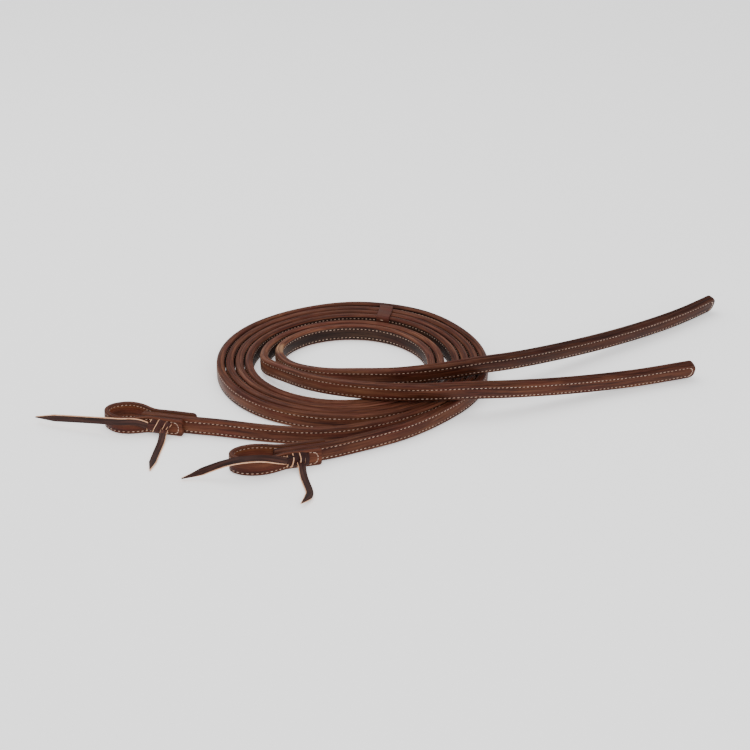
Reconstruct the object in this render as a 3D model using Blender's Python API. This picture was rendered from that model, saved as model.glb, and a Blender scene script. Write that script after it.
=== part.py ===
"""A pair of western split reins, laid down in a flat coil.

Two doubled and stitched leather straps stand on edge and are coiled together.
Each starts at a bit end, where a short loop strap is tied on with a lace, goes
round the coil three times and leaves to the right as a loose tail.  A leather
keeper holds three rings of the coil together, just inside the outermost one.
Metres, +Z up, floor at Z = 0, origin under the middle of the overall box.
The routes below are in millimetres, measured from the coil's axis.
"""
import math
import bpy
import bmesh
from mathutils import Vector

MM = 0.001
BOX_CENTRE = (47.338, -57.179)  # middle of the overall box, from the coil's axis

# ---- strap -------------------------------------------------------------
STRAP_WIDTH = 16.4        # nominal 5/8 in, stands vertical
PLY_THICKNESS = 3.75      # each of the two plies
PLY_GAP = 0.3             # glue line between the plies
EDGE_CHAMFER = 0.8        # rounded outer corners of a ply
ROW_OFFSET = 4.8          # stitch row from the strap's middle
THREAD_WIDTH = 0.9
THREAD_HEIGHT = 0.35
THREAD_GAP = 0.2
SEAT = 0.3                # air between pieces that touch
TAIL_GAP = 1.4            # slit across the strap where a tail starts to swing
TAIL_LEAN = 17.0          # a loose tail's top leans out by this many degrees
TAIL_GROWTH = 0.12        # a tail's section is larger by this share than the coil's
TAIL_CORNER = 6.0         # rounding of the tail's tip
TURNS = 3                 # a ply's coiled length is made as this many bodies

# ---- coil --------------------------------------------------------------
RING_PITCH = 9.25         # from one ring to the next
COIL_R0 = 134.45          # near rein's middle radius at angle 0
TURN_DROP = 2.0 * RING_PITCH
STEP_DEG = 15
THIRD_TURN = 560          # from here on the keeper no longer holds the rings

# ---- keeper ------------------------------------------------------------
KEEPER_ANGLE = 69.9       # where on the coil its middle sits
KEEPER_SKEW = 2.9         # its outer wall sits this many degrees further round
KEEPER_THICKNESS = 1.5
KEEPER_WIDTH = 14.0
KEEPER_PLAY = 0.7         # sideways, to the nearest stitches
KEEPER_AIR = 0.3          # above and below the straps
KEEPER_LIFT = 2.0         # rings are lifted this much where it passes below
KEEPER_CORNER = 0.7
KEEPER_BULGE = 2.9        # the outermost ring is pushed out this much beside it
BULGE_FLAT = 10.0         # degrees each side of the keeper at full bulge
BULGE_FADE = 32.0         # degrees from there to no bulge
LIFT_FLAT = 13.0          # degrees each side of the keeper at full lift
LIFT_FADE = 50.0          # degrees from there down to the floor

# ---- bit-end loop ------------------------------------------------------
LOOP_PLY = 2.2
LOOP_GAP = 0.3
LOOP_ROW = 5.8
LEG_GAP = 1.4             # loop leg to rein, room for both rows of stitches
FRONT_LEG = 42.0
BACK_LEG = 50.0
STRAIGHT_END = 48.0       # the rein is straight this far from its nose

# ---- lace --------------------------------------------------------------
LACE_WIDTH = 7.0
LACE_THICKNESS = 1.8
HOLE_R = 2.3
PEG_R = 2.0
HOLE_S = (-15.0, -26.5)   # along the rein from its nose
WRAP_S = (-14.0, -20.4, -26.8)      # middles of the slanting front wraps
WRAP_HALF = (3.1, 3.35, 3.35)       # half of each wrap's width
WRAP_THICK = (2.0, 2.5, 2.2)
WRAP_HEIGHT = ((0.9, 14.6), (0.9, 14.6), (1.6, 13.2))
WRAP_SLANT = 2.6
BACK_WRAP_MARGIN = 4.5    # the flat wrap runs this far past the holes

HALF_T = PLY_THICKNESS + PLY_GAP / 2.0
LOOP_HALF_T = LOOP_PLY + LOOP_GAP / 2.0
LEG_OFFSET = HALF_T + LEG_GAP + LOOP_HALF_T
LIFT = STRAP_WIDTH + SEAT       # a strap lying on another's top edge

for old in list(bpy.data.objects):
    bpy.data.objects.remove(old, do_unlink=True)


# ------------------------------------------------------------ materials
def leather(name, rgb, rough):
    mat = bpy.data.materials.new(name)
    mat.use_nodes = True
    bsdf = mat.node_tree.nodes["Principled BSDF"]
    bsdf.inputs["Base Color"].default_value = (rgb[0], rgb[1], rgb[2], 1.0)
    bsdf.inputs["Roughness"].default_value = rough
    return mat


def add_object(name, verts, faces, rgb, rough=0.6, pivot=(0.0, 0.0, 0.0)):
    """One closed body, its origin at pivot, the point that it turns about."""
    px, py, pz = pivot
    cx, cy = BOX_CENTRE
    mesh = bpy.data.meshes.new(name)
    mesh.from_pydata([((x - px) * MM, (y - py) * MM, (z - pz) * MM) for x, y, z in verts],
                     [], faces)
    bm = bmesh.new()
    bm.from_mesh(mesh)
    bmesh.ops.recalc_face_normals(bm, faces=bm.faces)
    if bm.calc_volume(signed=True) < 0.0:
        bmesh.ops.reverse_faces(bm, faces=bm.faces)
    bmesh.ops.triangulate(bm, faces=bm.faces)
    bm.to_mesh(mesh)
    bm.free()
    mesh.materials.append(leather(name + "_mat", rgb, rough))
    obj = bpy.data.objects.new(name, mesh)
    obj.location = ((px - cx) * MM, (py - cy) * MM, pz * MM)
    bpy.context.scene.collection.objects.link(obj)
    return obj


# ------------------------------------------------------------ curves
def catmull(points, first, last, step):
    """Centripetal curve through points[first..last], about one point per step."""
    out = []
    for i in range(first, last):
        p = [points[max(i - 1, 0)], points[i], points[i + 1],
             points[min(i + 2, len(points) - 1)]]
        t = [0.0]
        for a, b in zip(p, p[1:]):
            d = math.hypot(b[0] - a[0], b[1] - a[1])
            t.append(t[-1] + max(math.sqrt(d), 1e-3))
        n = max(1, int(round(math.hypot(p[2][0] - p[1][0], p[2][1] - p[1][1]) / step)))
        for k in range(n):
            u = t[1] + (t[2] - t[1]) * k / n
            row = []
            for c in range(len(p[0])):
                v = [q[c] for q in p]
                a1 = (t[1] - u) / (t[1] - t[0]) * v[0] + (u - t[0]) / (t[1] - t[0]) * v[1]
                a2 = (t[2] - u) / (t[2] - t[1]) * v[1] + (u - t[1]) / (t[2] - t[1]) * v[2]
                a3 = (t[3] - u) / (t[3] - t[2]) * v[2] + (u - t[2]) / (t[3] - t[2]) * v[3]
                b1 = (t[2] - u) / (t[2] - t[0]) * a1 + (u - t[0]) / (t[2] - t[0]) * a2
                b2 = (t[3] - u) / (t[3] - t[1]) * a2 + (u - t[1]) / (t[3] - t[1]) * a3
                row.append((t[2] - u) / (t[2] - t[1]) * b1 + (u - t[1]) / (t[2] - t[1]) * b2)
            out.append(tuple(row))
    out.append(tuple(points[last]))
    return out


def smooth(x):
    x = min(max(x, 0.0), 1.0)
    return x * x * (3.0 - 2.0 * x)


def between(table, angle):
    """Smooth value between hand-set (angle, value) pairs."""
    for (a0, v0), (a1, v1) in zip(table, table[1:]):
        if angle <= a1:
            return v0 + (v1 - v0) * (angle - a0) / (a1 - a0)
    return table[-1][1]


class Rail:
    """A flat strap's middle line: place, sideways vector, up vector, distance.

    Sideways points to the right of the direction of travel, which is the
    outside of the coil.
    """

    def __init__(self, rows, half_t, width):
        self.c, self.n, self.u, self.s = [], [], [], []
        pts = [Vector((r[0], r[1], 0.0)) for r in rows]
        dist = 0.0
        for i, r in enumerate(rows):
            if i:
                dist += (pts[i] - pts[i - 1]).length
            before = (pts[i] - pts[i - 1]).normalized() if i else None
            after = (pts[i + 1] - pts[i]).normalized() if i + 1 < len(pts) else None
            before = before or after
            after = after or before
            t = (before + after).normalized()
            side = Vector((t.y, -t.x, 0.0))
            stretch = 1.0 / max(0.5, before.dot(t))
            lean = math.radians(r[3])
            grown = 1.0 + TAIL_GROWTH * r[3] / TAIL_LEAN
            n = side * (math.cos(lean) * stretch) + Vector((0, 0, -math.sin(lean)))
            u = Vector((0, 0, math.cos(lean))) + side * math.sin(lean)
            low = (width / 2.0 * math.cos(lean) + half_t * abs(math.sin(lean))) * grown
            self.c.append(pts[i] + Vector((0, 0, r[2] + low)))
            self.n.append(n * grown)
            self.u.append(u * grown)
            self.s.append(dist)

    def at(self, s):
        last = len(self.s) - 2
        i = 0
        while i < last and self.s[i + 1] <= s:
            i += 1
        f = (s - self.s[i]) / (self.s[i + 1] - self.s[i])
        return (self.c[i].lerp(self.c[i + 1], f), self.n[i].lerp(self.n[i + 1], f),
                self.u[i].lerp(self.u[i + 1], f))

    def point(self, s, n, v):
        c, nn, uu = self.at(s)
        return c + nn * n + uu * v


def swept(name, rings, rgb, rough=0.6, pivot=(0.0, 0.0, 0.0)):
    """One closed body through a list of point rings."""
    k = len(rings[0])
    verts = [tuple(p) for ring in rings for p in ring]
    faces = []
    for i in range(len(rings) - 1):
        for j in range(k):
            a, b = i * k + j, i * k + (j + 1) % k
            faces.append((a, b, b + k, a + k))
    faces.append(tuple(range(k)))
    faces.append(tuple(range((len(rings) - 1) * k, len(rings) * k)))
    return add_object(name, verts, faces, rgb, rough, pivot)


def ply(name, rail, s0, s1, n_in, n_out, rgb, ends=(0.0, 0.0), chamfer=EDGE_CHAMFER,
        pivot=(0.0, 0.0, 0.0)):
    """One leather layer; ends = how far each end's corners are rounded."""
    half = STRAP_WIDTH / 2.0
    cut = [(s0, half - ends[0] * 0.55), (s0 + ends[0] * 0.45, half - ends[0] * 0.14),
           (s0 + ends[0], half)]
    tail = [(s1 - ends[1], half), (s1 - ends[1] * 0.45, half - ends[1] * 0.14),
            (s1, half - ends[1] * 0.55)]
    if not ends[0]:
        cut = [(s0, half)]
    if not ends[1]:
        tail = [(s1, half)]
    mids = [(s, half) for s in rail.s if cut[-1][0] + 1.0 < s < tail[0][0] - 1.0]
    rings = []
    for s, h in cut + mids + tail:
        c, nn, uu = rail.at(s)
        prof = [(n_in, -h), (n_out - math.copysign(chamfer, n_out - n_in), -h),
                (n_out, -h + chamfer), (n_out, h - chamfer),
                (n_out - math.copysign(chamfer, n_out - n_in), h), (n_in, h)]
        rings.append([c + nn * n + uu * v for n, v in prof])
    return swept(name, rings, rgb, 0.6, pivot)


def thread(name, rail, path, n_face, rgb, side=1.0, pivot=(0.0, 0.0, 0.0)):
    """A line of stitching lying just off a face; path = (distance, height)."""
    rings = []
    for i, (s, v) in enumerate(path):
        a = path[i - 1] if i else None
        b = path[i + 1] if i + 1 < len(path) else None
        d0 = Vector((s - a[0], v - a[1])).normalized() if a else None
        d1 = Vector((b[0] - s, b[1] - v)).normalized() if b else None
        d0 = d0 or d1
        d1 = d1 or d0
        t = (d0 + d1).normalized()
        w = THREAD_WIDTH / 2.0 / max(0.6, t.dot(d0))
        ds, dv = -t.y * w, t.x * w
        n0 = n_face + side * THREAD_GAP
        n1 = n0 + side * THREAD_HEIGHT
        rings.append([rail.point(s + ds, n0, v + dv), rail.point(s - ds, n0, v - dv),
                      rail.point(s, n1, v)])
    return swept(name, rings, rgb, 0.7, pivot)


def hairpin(rail, s_open, s_bend, row, turn):
    """Along the top row, round at s_bend, back along the bottom row.

    turn is the bend's depth; it is negative where s_bend comes before s_open.
    """
    low, high = sorted((s_open, s_bend - turn))
    body = [s for s in rail.s if low + 1.0 < s < high - 1.0]
    if turn < 0.0:
        body.reverse()
    rows = [s_open] + body + [s_bend - turn]
    bend = [(s_bend - turn * 0.35, row * 0.78), (s_bend, row * 0.34),
            (s_bend, -row * 0.34), (s_bend - turn * 0.35, -row * 0.78)]
    return [(s, row) for s in rows] + bend + [(s, -row) for s in reversed(rows)]


# ------------------------------------------------------------ the two routes
def keeper_lift(angle):
    off = abs((angle % 360.0) - KEEPER_ANGLE)
    return KEEPER_LIFT * (1.0 - smooth((off - LIFT_FLAT) / LIFT_FADE))


def coil_angles(start, stop):
    """Every 15 degrees, and every 5 close to the keeper."""
    out = []
    a = start
    while a <= stop:
        out.append(a)
        local = a % 360
        a += 5 if 60 <= local < 90 else STEP_DEG
    return out


def bulge(angle):
    return KEEPER_BULGE * (1.0 - smooth((abs(angle - KEEPER_ANGLE) - BULGE_FLAT) / BULGE_FADE))


def coil_row(angle, r0, squeeze, low):
    r = r0 - TURN_DROP * angle / 360.0 - between(squeeze, angle)
    if r0 == COIL_R0:
        r += bulge(angle)
    z = between(low, angle)
    if angle < THIRD_TURN:
        z = keeper_lift(angle)
    t = math.radians(angle)
    return (r * math.cos(t), r * math.sin(t), z, 0.0)


def route(nose, heading, entry, coil, leave, step_in, step_out):
    """Full route: straight bit end, hand-set entry, coil, hand-set way out."""
    h = math.radians(heading)
    straight = [(nose[0] + math.cos(h) * d, nose[1] + math.sin(h) * d, 0.0, 0.0)
                for d in (0.0, STRAIGHT_END / 2.0, STRAIGHT_END)]
    pts = straight + entry + coil[:2]
    rows = straight[:2] + catmull(pts, 2, len(pts) - 2, step_in)
    rows += coil[1:-1]
    pts = coil[-2:] + leave
    rows += catmull(pts, 1, len(pts) - 1, step_out)
    return rows


# third turn: how far each rein pulls in, then where the coil formula stops
SQUEEZE_NEAR = [(-90, 0.0), (630, 0.0), (660, 1.5), (690, 4.0), (720, 6.0), (750, 5.0),
                (795, 3.1), (840, 3.1), (870, 4.2), (885, 5.0)]
SQUEEZE_FAR = [(-90, 0.0), (630, 0.0), (660, 1.5), (690, 4.0), (720, 6.0), (750, 5.0),
               (795, 3.1), (840, 3.2), (870, 6.0), (885, 8.4)]
LOW_NEAR = [(-90, 0.0), (840, 0.0), (870, 1.2), (885, 2.6)]
LOW_FAR = [(-90, 0.0), (840, 0.0), (870, 0.9), (885, 1.8)]

NEAR_NOSE, NEAR_HEADING = (-66.0, -189.8), 15.5
FAR_NOSE, FAR_HEADING = (-190.5, -112.5), -15.0
NEAR_LOOP = {"half_width": 13.8, "reach": 38.0, "skew": -0.1}
FAR_LOOP = {"half_width": 15.8, "reach": 35.0, "skew": 0.0}

near_coil = [coil_row(a, COIL_R0, SQUEEZE_NEAR, LOW_NEAR) for a in coil_angles(-45, 885)]
far_coil = [coil_row(a, COIL_R0 - RING_PITCH, SQUEEZE_FAR, LOW_FAR)
            for a in coil_angles(-60, 885)]

NEAR_ENTRY = [(10.0, -162.5, 0, 0), (28.5, -153.0, 0, 0), (47.5, -142.0, 0, 0),
              (66.0, -128.0, 0, 0), (83.0, -112.0, 0, 0)]
FAR_ENTRY = [(-118.0, -130.3, 0, 0), (-99.0, -135.5, 0, 0), (-80.0, -140.5, 0, 0),
             (-60.0, -144.5, 0, 0), (-38.0, -147.5, 0, 0), (-18.0, -147.0, 0, 0),
             (2.0, -142.6, 0, 0), (20.0, -136.2, 0, 0), (36.0, -129.0, 0, 0),
             (50.5, -121.0, 0, 0)]

# (x, y, height of the lower edge, lean of the top towards the outside)
NEAR_LEAVE = [(-81.0, -8.0, 5.2, 0), (-61.6, -33.0, 8.4, 0), (-38.2, -58.7, 12.0, 0),
              (-12.5, -77.0, 15.2, 0), (9.6, -87.0, LIFT, 3), (40.5, -94.2, LIFT + 0.3, 9),
              (71.0, -96.8, LIFT + 0.7, 12), (103.0, -94.2, LIFT + 0.5, 14),
              (128.0, -89.6, 15.8, 15), (150.0, -83.5, 13.2, 16), (170.0, -76.6, 10.6, 17),
              (203.0, -63.9, 6.4, 17), (243.0, -48.2, 2.4, 17), (283.0, -33.8, 0.3, 17),
              (322.0, -19.6, 0.0, 17), (339.0, -13.4, 0.0, 17)]
FAR_LEAVE = [(-59.5, -12.0, 4.6, 0), (-42.5, -34.5, 9.2, 0), (-18.0, -50.8, 13.4, 0),
             (7.5, -59.0, LIFT, 3), (41.0, -60.6, LIFT, 9), (74.0, -55.0, LIFT, 12),
             (106.0, -45.6, LIFT, 14), (130.0, -36.9, LIFT, 15),
             (150.0, -27.6, 14.8, 16), (170.0, -16.2, 12.6, 17), (212.0, 11.2, 8.2, 17),
             (255.0, 41.5, 4.2, 17), (299.0, 74.1, 1.4, 17), (345.0, 110.9, 0.0, 17),
             (383.5, 146.7, 0.0, 17)]

near_rail = Rail(route(NEAR_NOSE, NEAR_HEADING, NEAR_ENTRY, near_coil, NEAR_LEAVE, 18.0, 17.0),
                 HALF_T, STRAP_WIDTH)
far_rail = Rail(route(FAR_NOSE, FAR_HEADING, FAR_ENTRY, far_coil, FAR_LEAVE, 19.0, 17.0),
                HALF_T, STRAP_WIDTH)


def distance_near(rail, x, y):
    best = min(range(len(rail.s)), key=lambda i: (rail.c[i].x - x) ** 2 + (rail.c[i].y - y) ** 2)
    return rail.s[best]


# ------------------------------------------------------------ solids helpers
def apply_boolean(target, other, operation):
    mod = target.modifiers.new("cut", "BOOLEAN")
    mod.operation = operation
    mod.solver = "EXACT"
    mod.object = other
    deps = bpy.context.evaluated_depsgraph_get()
    fresh = bpy.data.meshes.new_from_object(target.evaluated_get(deps))
    target.modifiers.clear()
    target.data = fresh
    bpy.data.objects.remove(other, do_unlink=True)


def peg(origin, axis, radius, length_from, length_to, sides=12):
    up = Vector((0, 0, 1))
    across = axis.cross(up)
    rings = []
    for d in (length_from, length_to):
        ring = []
        for k in range(sides):
            a = 2.0 * math.pi * (k + 0.5) / sides
            ring.append(origin + axis * d + across * (radius * math.cos(a))
                        + up * (radius * math.sin(a)))
        rings.append(ring)
    return swept("peg", rings, (0.1, 0.03, 0.03))


def slab(corners, axis, d0, d1):
    rings = [[c + axis * d0 for c in corners], [c + axis * d1 for c in corners]]
    return swept("slab", rings, (0.1, 0.03, 0.03))


# ------------------------------------------------------------ one rein
FACE = (0.125, 0.040, 0.021)
INNER = (0.085, 0.028, 0.016)
THREAD = (0.66, 0.45, 0.34)
LACE = (0.040, 0.014, 0.016)


def lace_strip(name, rows, taper):
    """Thin lace; rows = x, y, z, roll in degrees (0 = standing on edge)."""
    rings = []
    n = len(rows)
    pts = [Vector(r[:3]) for r in rows]
    total = sum((b - a).length for a, b in zip(pts, pts[1:]))
    run = 0.0
    for i, r in enumerate(rows):
        if i:
            run += (pts[i] - pts[i - 1]).length
        t = (pts[min(i + 1, n - 1)] - pts[max(i - 1, 0)]).normalized()
        side = Vector((t.y, -t.x, 0.0)).normalized()
        up = side.cross(t).normalized()
        roll = math.radians(r[3])
        wide = up * math.cos(roll) + side * math.sin(roll)
        thin = t.cross(wide).normalized()
        w = LACE_WIDTH / 2.0 * min(1.0, 0.16 + (total - run) / taper)
        h = LACE_THICKNESS / 2.0
        rings.append([pts[i] + wide * w + thin * h, pts[i] - wide * w + thin * h,
                      pts[i] - wide * w - thin * h, pts[i] + wide * w - thin * h])
    return swept(name, rings, LACE, 0.45, pivot=rows[0][:3])


def bit_end(tag, nose, heading, shape, long_rows, short_rows):
    """Loop strap, its stitching, the lace knot and the two lace ends."""
    h = math.radians(heading)
    out = Vector((-math.cos(h), -math.sin(h), 0.0))       # away from the rein
    front = Vector((math.sin(h), -math.cos(h), 0.0))      # the rein's outer side

    def world(s, side):
        return (nose[0] + out.x * s + front.x * side, nose[1] + out.y * s + front.y * side)

    m, q, skew = shape["half_width"], shape["reach"], shape["skew"]
    bulge = m - LEG_OFFSET
    half = [(-28.0, LEG_OFFSET), (-8.0, LEG_OFFSET), (-1.5, LEG_OFFSET + 0.36 * bulge),
            (0.16 * q, m - 0.22 * bulge), (0.38 * q, m), (0.62 * q, m - 0.12 * bulge),
            (0.82 * q, m - 0.6 * bulge), (0.95 * q, 0.42 * m), (q, 0.15 * m)]
    line = [(-FRONT_LEG, LEG_OFFSET)] + half
    line += [(s, -side) for s, side in reversed(half)] + [(-BACK_LEG, -LEG_OFFSET)]
    line = [(s, side + skew * max(s, 0.0)) for s, side in line]
    # travel from the front leg's end round the loop to the back leg's end,
    # so that the right-hand side is the inside of the loop
    rows = [(*world(s, side), 0.0, 0.0) for s, side in line]
    loop = Rail(rows, LOOP_HALF_T, STRAP_WIDTH)
    length = loop.s[-1]
    inward = 1.0 if loop.n[10].dot(-out) > 0 else -1.0
    ply(tag + "_loop_outer_ply", loop, 0.0, length, -inward * LOOP_GAP / 2.0,
        -inward * LOOP_HALF_T, FACE, ends=(2.4, 3.4), chamfer=0.5)
    ply(tag + "_loop_lining", loop, 0.0, length, inward * LOOP_GAP / 2.0,
        inward * LOOP_HALF_T, INNER, ends=(2.4, 3.4), chamfer=0.5)
    body = [s for s in loop.s if 9.0 < s < length - 5.0]
    rows_s = [length - 3.4] + list(reversed(body)) + [9.5]
    bend = [(6.0, LOOP_ROW * 0.8), (4.2, LOOP_ROW * 0.34), (4.2, -LOOP_ROW * 0.34),
            (6.0, -LOOP_ROW * 0.8)]
    path = [(s, LOOP_ROW) for s in rows_s] + bend + [(s, -LOOP_ROW) for s in reversed(rows_s)]
    thread(tag + "_loop_needle_thread", loop, path, -inward * LOOP_HALF_T, THREAD, -inward)
    thread(tag + "_loop_bobbin_thread", loop, path, inward * LOOP_HALF_T, THREAD, inward)

    # lace holes through the loop legs and the rein's end
    for part in ("_loop_outer_ply", "_loop_lining", "_turn_1_outer_ply", "_turn_1_inner_ply"):
        for s in HOLE_S:
            x, y = world(s, 0.0)
            middle = Vector((x, y, STRAP_WIDTH / 2.0))
            tool = peg(middle, front, HOLE_R, -2.0 * LEG_OFFSET, 2.0 * LEG_OFFSET)
            apply_boolean(bpy.data.objects[tag + part], tool, "DIFFERENCE")

    # lace knot: slanting wraps in front, one flat wrap behind, joined through the holes
    face = LEG_OFFSET + LOOP_HALF_T + THREAD_GAP + THREAD_HEIGHT + SEAT
    z_mid = STRAP_WIDTH / 2.0
    base = Vector((*world(0.0, 0.0), 0.0))
    knot = None
    for s, w, thick, (low, high) in zip(WRAP_S, WRAP_HALF, WRAP_THICK, WRAP_HEIGHT):
        corners = [base + out * (s + w + WRAP_SLANT) + Vector((0, 0, low)),
                   base + out * (s - w + WRAP_SLANT) + Vector((0, 0, low)),
                   base + out * (s - w - WRAP_SLANT) + Vector((0, 0, high)),
                   base + out * (s + w - WRAP_SLANT) + Vector((0, 0, high))]
        band = slab(corners, front, face, face + thick)
        if knot is None:
            knot = band
        else:
            apply_boolean(knot, band, "UNION")
    for s in HOLE_S:
        x, y = world(s, 0.0)
        apply_boolean(knot, peg(Vector((x, y, z_mid)), front, PEG_R, -face - 1.0, face + 1.0),
                      "UNION")
    s_a, s_b = HOLE_S[0] + BACK_WRAP_MARGIN, HOLE_S[1] - BACK_WRAP_MARGIN
    z_a, z_b = z_mid - LACE_WIDTH / 2.0, z_mid + LACE_WIDTH / 2.0
    corners = [base + out * s_a + Vector((0, 0, z_a)), base + out * s_b + Vector((0, 0, z_a)),
               base + out * s_b + Vector((0, 0, z_b)), base + out * s_a + Vector((0, 0, z_b))]
    apply_boolean(knot, slab(corners, front, -face - LACE_THICKNESS, -face), "UNION")
    knot.name = tag + "_lace_knot"
    knot.data.name = knot.name
    knot.data.materials.clear()
    knot.data.materials.append(leather(knot.name + "_mat", LACE, 0.45))

    def run_out(rows, step):
        world_rows = [(*world(r[0], r[1]), r[2], r[3]) for r in rows]
        return catmull(world_rows, 0, len(world_rows) - 1, step)

    lace_strip(tag + "_lace_long_end", run_out(long_rows, 8.0), 22.0)
    lace_strip(tag + "_lace_short_end", run_out(short_rows, 7.0), 16.0)


def rein(tag, rail, split_xy, nose, heading, shape, long_rows, short_rows):
    cut = distance_near(rail, *split_xy)
    end = rail.s[-1]
    middle = tuple(rail.at(cut)[0])
    floor = (0.0, 0.0, 0.0)
    inner0, outer0 = PLY_GAP / 2.0, HALF_T
    coiled = cut - TAIL_GAP / 2.0
    spans = [("_tail", cut + TAIL_GAP / 2.0, end, (0.0, TAIL_CORNER), middle)]
    for k in range(TURNS):
        s0 = coiled * k / TURNS + (SEAT if k else 0.0)
        spans.append((f"_turn_{k + 1}", s0, coiled * (k + 1) / TURNS, (0.0 if k else 1.6, 0.0),
                      floor))
    for part, s0, s1, ends, pivot in spans:
        ply(tag + part + "_outer_ply", rail, s0, s1, inner0, outer0, FACE, ends, pivot=pivot)
        ply(tag + part + "_inner_ply", rail, s0, s1, -inner0, -outer0, INNER, ends, pivot=pivot)
    # stitching: a row above and a row below, joined at the nose and at the tail's tip
    nose_path = hairpin(rail, cut - TAIL_GAP, 2.6, ROW_OFFSET, -1.8)
    tail_path = hairpin(rail, cut + TAIL_GAP, end - 3.4, ROW_OFFSET, 3.4)
    for part, path, pivot in (("", nose_path, floor), ("_tail", tail_path, middle)):
        thread(tag + part + "_needle_thread", rail, path, outer0, THREAD, 1.0, pivot)
        thread(tag + part + "_bobbin_thread", rail, path, -outer0, THREAD, -1.0, pivot)
    bit_end(tag, nose, heading, shape, long_rows, short_rows)


# lace ends, from the knot: along the loop, out to the front, height, roll
NEAR_LONG = [(-9.0, 13.6, 11.2, 8), (-2.0, 15.8, 13.8, 26), (6.0, 18.0, 17.0, 44),
             (15.0, 18.6, 19.4, 56), (26.0, 18.2, 20.2, 58), (38.0, 16.4, 19.4, 56),
             (50.0, 11.8, 15.4, 48), (62.5, 7.4, 9.8, 38), (74.0, 4.0, 4.8, 22),
             (85.0, 2.6, 1.8, 8)]
FAR_LONG = [(-9.0, 13.6, 9.6, 0), (-3.0, 15.6, 12.8, 0), (4.0, 19.0, 14.8, 0),
            (13.0, 21.2, 14.6, 0), (27.0, 21.0, 13.6, 0), (46.0, 19.8, 11.8, 0),
            (65.0, 18.4, 9.8, 0), (84.0, 17.2, 7.8, 0), (101.0, 16.4, 6.2, 0)]
NEAR_SHORT = [(-21.5, 17.4, 5.4, 84), (-21.2, 20.6, 3.0, 86), (-20.4, 27.0, 1.3, 90),
              (-19.4, 40.0, 1.1, 90), (-18.6, 54.0, 1.2, 86), (-16.0, 65.0, 2.6, 72),
              (-10.5, 73.0, 3.8, 58), (-5.0, 79.0, 4.0, 50)]
FAR_SHORT = [(-25.6, 17.4, 5.2, 90), (-26.2, 20.6, 2.8, 90), (-27.4, 28.0, 1.2, 90),
             (-29.8, 44.0, 1.1, 90), (-32.4, 61.0, 1.1, 90), (-35.4, 79.0, 1.1, 90)]

rein("near", near_rail, (150.0, -83.0), NEAR_NOSE, NEAR_HEADING, NEAR_LOOP, NEAR_LONG, NEAR_SHORT)
rein("far", far_rail, (150.0, -26.2), FAR_NOSE, FAR_HEADING, FAR_LOOP, FAR_LONG, FAR_SHORT)

# ------------------------------------------------------------ keeper
def ring_radius(angle, rings_in):
    """Middle radius of the near rein's outermost ring, or of one further in."""
    return COIL_R0 - TURN_DROP * angle / 360.0 - rings_in * RING_PITCH


stick = HALF_T + THREAD_GAP + THREAD_HEIGHT
r_out = ring_radius(KEEPER_ANGLE, 1) + stick + KEEPER_PLAY
r_in = ring_radius(KEEPER_ANGLE, 3) - stick - KEEPER_PLAY
z_in0 = KEEPER_LIFT - KEEPER_AIR
z_in1 = KEEPER_LIFT + STRAP_WIDTH + KEEPER_AIR


def keeper_loop(grow):
    """Section of the band, (radius, height), grow outside its inner surface."""
    c = KEEPER_CORNER * (1.0 + grow)
    a0, a1 = r_in - grow, r_out + grow
    b0, b1 = z_in0 - grow, z_in1 + grow
    return [(a0 + c, b0), (a1 - c, b0), (a1, b0 + c), (a1, b1 - c), (a1 - c, b1), (a0 + c, b1),
            (a0, b1 - c), (a0, b0 + c)]


def keeper_point(r, z, w):
    """Place on the band; w runs along the rings, and the band is skewed across them."""
    share = (r - r_in) / (r_out - r_in) - 0.5
    turn = math.radians(KEEPER_ANGLE + KEEPER_SKEW * share)
    radial = Vector((math.cos(turn), math.sin(turn), 0.0))
    along = Vector((-math.sin(turn), math.cos(turn), 0.0))
    return tuple(radial * r + along * w + Vector((0.0, 0.0, z)))


inner_loop = keeper_loop(0.0)
outer_loop = keeper_loop(KEEPER_THICKNESS)
kv, kf = [], []
for w in (-KEEPER_WIDTH / 2.0, KEEPER_WIDTH / 2.0):
    for ring in (inner_loop, outer_loop):
        kv += [keeper_point(r, z, w) for r, z in ring]
nk = len(inner_loop)
for i in range(nk):
    j = (i + 1) % nk
    kf.append((i, j, nk + j, nk + i))
    kf.append((2 * nk + i, 3 * nk + i, 3 * nk + j, 2 * nk + j))
    kf.append((nk + i, nk + j, 3 * nk + j, 3 * nk + i))
    kf.append((i, 2 * nk + i, 2 * nk + j, j))
add_object("keeper_band", kv, kf, (0.115, 0.042, 0.026), 0.6)
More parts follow.
